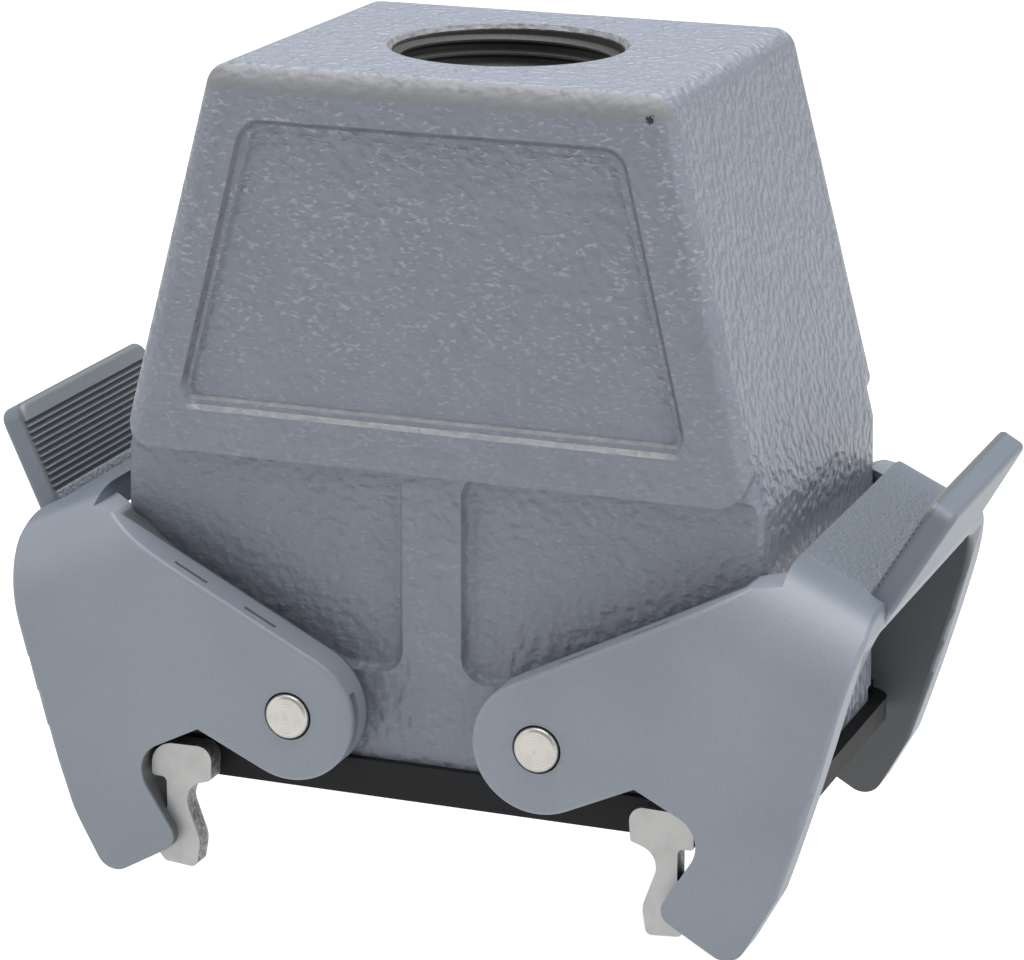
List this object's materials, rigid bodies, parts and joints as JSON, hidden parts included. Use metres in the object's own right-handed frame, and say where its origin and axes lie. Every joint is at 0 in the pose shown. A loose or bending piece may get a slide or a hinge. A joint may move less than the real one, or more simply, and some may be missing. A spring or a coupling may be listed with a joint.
{
  "type": "rectangular connector hood",
  "caption": "Heavy duty rectangular connector hood: cast metal body with top cable entry, two hinged locking levers with steel hooks, and a contact insert.",
  "frame": {"origin": "middle of the footprint, on the plane that the four lever hooks touch", "axes": "+X along the hood's long side to the right lever, -Y the face seen in front, +Z out of the cable entry"},
  "size_m": [0.1098, 0.0584, 0.0897],
  "materials": {
    "hood_paint": "textured powder coat",
    "lever_plastic": "fine matte",
    "seal": "smooth",
    "pin_steel": "satin",
    "plate_steel": "satin",
    "insert_plastic": "matte",
    "contact_metal": "silvered",
    "zinc_steel": "zinc plated",
    "earth_metal": "tinned"
  },
  "bodies": {
    "hood": {"hood_shell": "hood_paint", "rim_seal": "seal", "insert_body": "insert_plastic", "contact_01": "contact_metal", "contact_02": "contact_metal", "contact_03": "contact_metal", "contact_04": "contact_metal", "contact_05": "contact_metal", "contact_06": "contact_metal", "contact_07": "contact_metal", "contact_08": "contact_metal", "contact_09": "contact_metal", "contact_10": "contact_metal", "terminal_screws": "zinc_steel", "earth_plate_left": "earth_metal", "earth_plate_right": "earth_metal", "earth_screws": "zinc_steel", "insert_screws": "zinc_steel", "pivot_pin_left_front": "pin_steel", "pivot_pin_left_rear": "pin_steel", "pivot_pin_right_front": "pin_steel", "pivot_pin_right_rear": "pin_steel"},
    "left_lever_body": {"left_lever": "lever_plastic", "hook_plate_left_front": "plate_steel", "hook_plate_left_rear": "plate_steel"},
    "right_lever_body": {"right_lever": "lever_plastic", "hook_plate_right_front": "plate_steel", "hook_plate_right_rear": "plate_steel"}
  },
  "joints": [
    {"name": "left_lever_hinge", "type": "hinge", "parent": "hood", "child": "left_lever_body", "pos_m": [-0.01425, 0, 0.0207], "axis": [0, -1, 0], "range_deg": [0, 60]},
    {"name": "right_lever_hinge", "type": "hinge", "parent": "hood", "child": "right_lever_body", "pos_m": [0.01425, 0, 0.0207], "axis": [0, 1, 0], "range_deg": [0, 60]}
  ]
}
